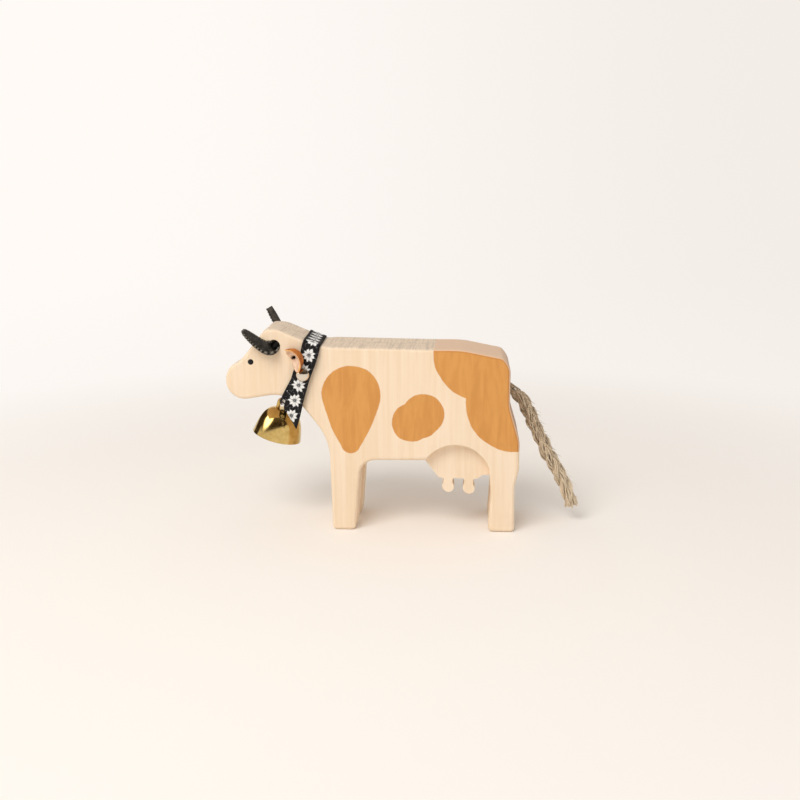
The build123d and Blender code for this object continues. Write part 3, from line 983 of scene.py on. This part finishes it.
def flowerWeave():
    made, start = startMaterial("flower_ribbon", Specular_IOR_Level=0.3)
    uv = start.node("ShaderNodeUVMap", {"uv_map": "UVMap"}).split()
    thread = ribbon["thread"]
    half = ribbon["pitch"] / 2
    run = uv[0].calc("WRAP", uv[0] - ribbon["firstFlower"], half, -half)
    run = run.calc("SNAP", run, thread * 0.5)
    side = run.calc("SNAP", uv[1], thread * 0.5)
    reach = (run * run + side * side) ** 0.5
    angle = run.calc("ARCTAN2", side, run)
    sector = math.pi / ribbon["petals"]
    drift = (start.node("ShaderNodeUVMap", {"uv_map": "UVMap"}).noise(0.55, 1) - 0.5) * ribbon["ragged"]
    own = run.calc("WRAP", angle + drift + 0.35, sector, -sector)
    length = (angle * 3).wave() * 0.22 + drift + ribbon["petalLength"]
    share = run.calc("DIVIDE", reach - ribbon["petalStart"], length - ribbon["petalStart"], clamp=True)
    belly = ((share ** 1.3) * math.pi).wave() * ribbon["petalHalfWidth"]
    petal = ((reach * own.wave()).size() - belly).inside(0.12)
    warp = (uv[0] * (2 * math.pi / thread)).wave()
    weft = (uv[1] * (2 * math.pi / thread)).wave()
    weave = warp * weft
    lint = millimetres(start).noise(2.5, 3, 0.7)
    ground = (lint * 0.5 + weave * 0.1).tint(ribbon["black"], ribbon["blackLint"])
    floss = (lint * 0.5 + weave * 0.15 + 0.3).tint(ribbon["whiteShade"], ribbon["white"])
    colour = petal.tint(ground, floss)
    skin = (weave * 0.5 + petal * 0.8).raised(0.00010, 0.6)
    return finishMaterial(made, Base_Color=colour, Roughness=0.72 + lint * 0.15, Normal=skin)


def wovenCollar():
    piece = addPiece("flowerRibbon", ribbonSheet(), "cow", flowerWeave())
    thicken(piece, ribbon["thickness"] * mm)
    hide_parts("collar_ribbon")


wovenCollar()
print("collar laid")


# Rivet, bell, link and clapper: polished metal
metal = {
    "nickel": rgb(226, 214, 198),
    "brass": rgb(222, 194, 128),
    "brassDark": rgb(204, 172, 102),
    "spinSteps": 96,
    "nickelRough": 0.08,
    "brassRough": 0.07,
    "wireRough": 0.18,
}


def polished(name, light, dark, rough):
    made, start = startMaterial(name, Metallic=1.0)
    spot = millimetres(start)
    haze = spot.noise(0.35, 3, 0.6)
    spun = spot.noise(2.6, 3, 0.7)
    colour = haze.ease(0.3, 0.7).tint(dark, light)
    gloss = rough + haze * 0.10 + spun * 0.05
    return finishMaterial(made, Base_Color=colour, Roughness=gloss, Normal=spun.raised(0.00002, 0.3))


def spunShape(profile, place):
    # A closed outline of radius and height, turned a full circle about the local upright axis
    turned = bmesh.new()
    corners = [turned.verts.new((radius * mm, 0, height * mm)) for radius, height in profile]
    edges = [turned.edges.new(pair) for pair in zip(corners, corners[1:])]
    bmesh.ops.spin(turned, geom=corners + edges, axis=(0, 0, 1), cent=(0, 0, 0), angle=2 * math.pi,
                   steps=metal["spinSteps"], use_merge=True)
    bmesh.ops.remove_doubles(turned, verts=turned.verts, dist=1e-7)
    bmesh.ops.transform(turned, matrix=place, verts=turned.verts)
    bmesh.ops.recalc_face_normals(turned, faces=turned.faces)
    return turned


def curveRun(start, handle, otherHandle, end, count):
    flat = [Vector((*pair, 0)) for pair in (start, handle, otherHandle, end)]
    return [(p.x, p.y) for p in interpolate_bezier(*flat, count)]


rivet = {"radius": 2.8, "rim": 0.45, "height": 2.3, "tip": 9}


def rivetDome():
    low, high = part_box("rivet_cap")
    middle = (low + high) / 2
    turn = Matrix.Rotation(math.radians(90 - rivet["tip"]), 4, "X")
    seat = Matrix.Translation((middle.x, high.y, middle.z)) @ turn
    radius, rim, height = rivet["radius"], rivet["rim"], rivet["height"]
    bulge = rim + (height - rim) * 0.55
    dome = curveRun((radius, rim), (radius, bulge), (radius * 0.55, height), (0, height), 24)
    profile = [(0, 0), (radius * 0.9, 0), (radius, rim * 0.4)] + dome
    piece = addPiece("rivetDome", spunShape(profile, seat), "cow",
                     polished("polished_nickel", metal["nickel"], metal["nickel"], metal["nickelRough"]))
    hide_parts("rivet_cap")
    return piece.data.materials[0]


bell = {
    "crown": 4.1,
    "height": 12.7,
    "rim": 10.6,
    "wall": 0.8,
    "crownRadius": 3.3,
    "shoulder": 8.9,
    "waist": 9.8,
    "shoulderDrop": 0.6,
    "waistRise": 4.2,
}


def bellPlace():
    # The bell's own frame: its hinge point, the axis it swings about and its upright
    joint = [j for j in frame["joints"] if j["child"] == "bell"][0]
    across = Vector(joint["axis"])
    aside = Vector((0, 1, 0))
    upright = across.cross(aside)
    turn = Matrix((across, aside, upright)).transposed().to_4x4()
    return Matrix.Translation(joint["pos_m"]) @ turn


def bellCup():
    top = -bell["crown"]
    low = top - bell["height"]
    rim, wall, crown = bell["rim"], bell["wall"], bell["crownRadius"]
    shoulder, waist = bell["shoulder"], bell["waist"]
    bend = top - bell["shoulderDrop"]
    rise = low + bell["waistRise"]
    outer = curveRun((crown, top), (shoulder, bend), (waist, rise), (rim, low + 0.25), 40)
    inner = curveRun((rim - wall, low + 0.2), (waist - wall, rise), (shoulder - wall, bend - wall),
                     (crown - wall, top - wall), 40)
    profile = [(0, top + 0.15), (crown * 0.6, top + 0.12)] + outer + [(rim - wall * 0.5, low)] + inner
    profile.append((0, top - wall))
    brass = polished("polished_brass", metal["brass"], metal["brassDark"], metal["brassRough"])
    piece = addPiece("bellCup", spunShape(profile, bellPlace()), "bell", brass, sharp=50)
    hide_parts("bell_cup")
    return brass


def dressNode(node, material):
    data = frame["nodes"][node].data
    data.materials.clear()
    data.materials.append(material)


nickel = rivetDome()
dressNode("rivet_post", nickel)
bellCup()
wire = polished("drawn_brass", metal["brass"], metal["brassDark"], metal["wireRough"])
for node in ("bell_link", "clapper_wire", "clapper_ball"):
    dressNode(node, wire)
print("metal fitted")


# Stage: pale floor that runs up into a backdrop, a soft lamp from the front left, the photographed view
stage = {
    "floor": rgb(249, 243, 237),
    "floorShade": rgb(247, 241, 234),
    "pale": rgb(249, 243, 237),
    # painted light and shade: the far glow is paler at the left and darker at the right
    "paleLeft": rgb(255, 250, 245),
    "paleRight": rgb(243, 237, 231),
    "half": 1.6,
    "back": 1.1,
    "curve": 0.5,
    "fadeFrom": 0.13,
    "fadeTo": 0.42,
    # painted reflection: a glowing dome that only shiny surfaces see, dim with one bright patch
    "roomRadius": 1.5,
    "roomFoot": 0.38,
    "roomFootBack": 0.06,
    "roomBack": 1.3,
    "roomGlow": 5.0,
    "roomDim": rgb(24, 18, 12),
    "roomTop": rgb(52, 46, 37),
    # painted highlight: a bright glowing patch on the dome, standing in for the lamp in reflections
    "window": (-1.02, -0.50, 0.98),
    "windowRadius": 0.52,
    "windowSoft": 0.16,
    "windowColour": rgb(255, 248, 232),
}
light = {
    "fill": 0.62,
    "warm": (1, 0.985, 0.965),
    "place": (-0.38, -0.72, 0.95),
    "target": (0, 0, 0.03),
    "size": (0.75, 0.6),
    "power": 8.2,
}
view = {
    "place": (41.26, -377.7, 137.14),
    "turn": 2.646,
    "down": 12.394,
    "lens": 40.5,
    "shift": -0.0393,
}


def seenDirectly(start):
    # 1 for rays from the camera and for those that metal or glass sends on
    rays = [start.node("ShaderNodeLightPath", out=name)
            for name in ("Is Camera Ray", "Is Glossy Ray", "Is Transmission Ray")]
    return rays[0].most(rays[1]).most(rays[2])


def palePaper():
    # Diffuse paper round the cow; further off it glows pale, with painted light at the left and painted
    # shade at the right
    made, start = startMaterial("pale_paper", Specular_IOR_Level=0.1)
    spot = start.node("ShaderNodeTexCoord", out="Object")
    tone = spot.noise(8, 3)
    colour = tone.tint(stage["floor"], stage["floorShade"])
    finishMaterial(made, Base_Color=colour, Roughness=0.9 + tone * 0.05)
    x, y, z = spot.split()
    far = ((x * x + y * y + z * z) ** 0.5).ease(stage["fadeFrom"], stage["fadeTo"])
    # painted light and shade: the glow runs from paler at the left to darker at the right
    wall = x.ease(-0.7, 0.7).tint(stage["paleLeft"], stage["paleRight"])
    glow = start.node("ShaderNodeEmission", inputs={"Color": wall, "Strength": 1.0})
    paper = Sock(made.node_tree, made.node_tree.nodes["Principled BSDF"].outputs[0])
    mixed = start.node("ShaderNodeMixShader", inputs={0: far * seenDirectly(start), 1: paper, 2: glow})
    made.node_tree.links.new(mixed.socket, made.node_tree.nodes["Material Output"].inputs["Surface"])
    return made


def addStage(name, shape, material):
    mesh = bpy.data.meshes.new(name)
    shape.to_mesh(mesh)
    shape.free()
    mesh.materials.append(material)
    mesh.shade_smooth()
    holder = bpy.data.objects.new(name, mesh)
    bpy.context.scene.collection.objects.link(holder)
    return holder


def floorAndBackdrop():
    sweep = bmesh.new()
    half = stage["half"]
    front = sweep.edges.new([sweep.verts.new((x, -half, 0)) for x in (-half, half)])
    run = bmesh.ops.extrude_edge_only(sweep, edges=[front])["geom"]
    moved = [g for g in run if isinstance(g, bmesh.types.BMVert)]
    edge = [g for g in run if isinstance(g, bmesh.types.BMEdge)]
    bmesh.ops.translate(sweep, verts=moved, vec=(0, half + stage["back"], 0))
    bmesh.ops.spin(sweep, geom=moved + edge, cent=(0, stage["back"], stage["curve"]), axis=(1, 0, 0),
                   angle=math.radians(90), steps=24)
    rim = [e for e in sweep.edges if all(v.co.z > stage["curve"] * 0.999 for v in e.verts)]
    rise = bmesh.ops.extrude_edge_only(sweep, edges=rim)["geom"]
    lifted = [g for g in rise if isinstance(g, bmesh.types.BMVert)]
    bmesh.ops.translate(sweep, verts=lifted, vec=(0, 0, half))
    addStage("backdrop", sweep, palePaper())


def paintedReflectionDome():
    # A glowing half dome behind the camera that only shiny metal shows: a painted reflection of a dim room,
    # with a bright patch as a painted highlight
    made, start = startMaterial("painted_reflection_room", Base_Color=(0, 0, 0, 1), Roughness=1.0, Specular_IOR_Level=0,
                                Emission_Strength=stage["roomGlow"])
    spot = start.node("ShaderNodeTexCoord", out="Object")
    room = spot.split()[2].ease(0.7, 1.5).tint(stage["roomDim"], stage["roomTop"])
    ends = {0: spot, 1: stage["window"]}
    away = spot.node("ShaderNodeVectorMath", {"operation": "DISTANCE"}, ends, out="Value")
    window = (away - stage["windowRadius"]).inside(stage["windowSoft"])
    finishMaterial(made, Emission_Color=window.tint(room, stage["windowColour"]))
    dome = bmesh.new()
    bmesh.ops.create_uvsphere(dome, u_segments=48, v_segments=32, radius=stage["roomRadius"])
    outside = []
    for vertex in dome.verts:
        x, y, z = vertex.co
        foot = stage["roomFoot"] if y < 0 or x > 0 else stage["roomFootBack"]
        if z < foot or y > stage["roomBack"]:
            outside.append(vertex)
    bmesh.ops.delete(dome, geom=outside, context="VERTS")
    holder = addStage("paintedReflectionRoom", dome, made)
    holder.visible_camera = False
    holder.visible_diffuse = False
    holder.visible_shadow = False


def softLamp(name, place, target, size, power, colour):
    lamp = bpy.data.lights.new(name, "AREA")
    lamp.shape = "RECTANGLE"
    lamp.size, lamp.size_y = size
    lamp.energy = power
    lamp.color = colour
    holder = bpy.data.objects.new(name, lamp)
    holder.location = place
    holder.rotation_euler = (Vector(target) - Vector(place)).to_track_quat("-Z", "Y").to_euler()
    # the lamp is hidden from reflections; the dome's bright patch is its painted highlight
    holder.visible_glossy = False
    bpy.context.scene.collection.objects.link(holder)


def studioLight():
    world = bpy.data.worlds.new("studio")
    bpy.context.scene.world = world
    world.use_nodes = True
    start = Sock(world.node_tree)
    warm = (*light["warm"], 1)
    fill = start.node("ShaderNodeBackground", inputs={"Color": warm, "Strength": light["fill"]})
    seen = start.node("ShaderNodeBackground", inputs={"Color": stage["pale"], "Strength": 1.0})
    both = start.node("ShaderNodeMixShader", inputs={0: seenDirectly(start), 1: fill, 2: seen})
    world.node_tree.links.new(both.socket, world.node_tree.nodes["World Output"].inputs["Surface"])
    softLamp("keyLamp", light["place"], light["target"], light["size"], light["power"], light["warm"])


def photographedView():
    camera = bpy.data.cameras.new("camera")
    camera.lens = view["lens"]
    camera.shift_x = view["shift"]
    camera.clip_start = 0.01
    holder = bpy.data.objects.new("camera", camera)
    holder.location = point(*view["place"])
    holder.rotation_euler = (math.radians(90 - view["down"]), 0, math.radians(view["turn"]))
    bpy.context.scene.collection.objects.link(holder)
    bpy.context.scene.camera = holder
    bpy.context.scene.view_settings.view_transform = "Standard"


floorAndBackdrop()
paintedReflectionDome()
studioLight()
photographedView()
print("stage set")
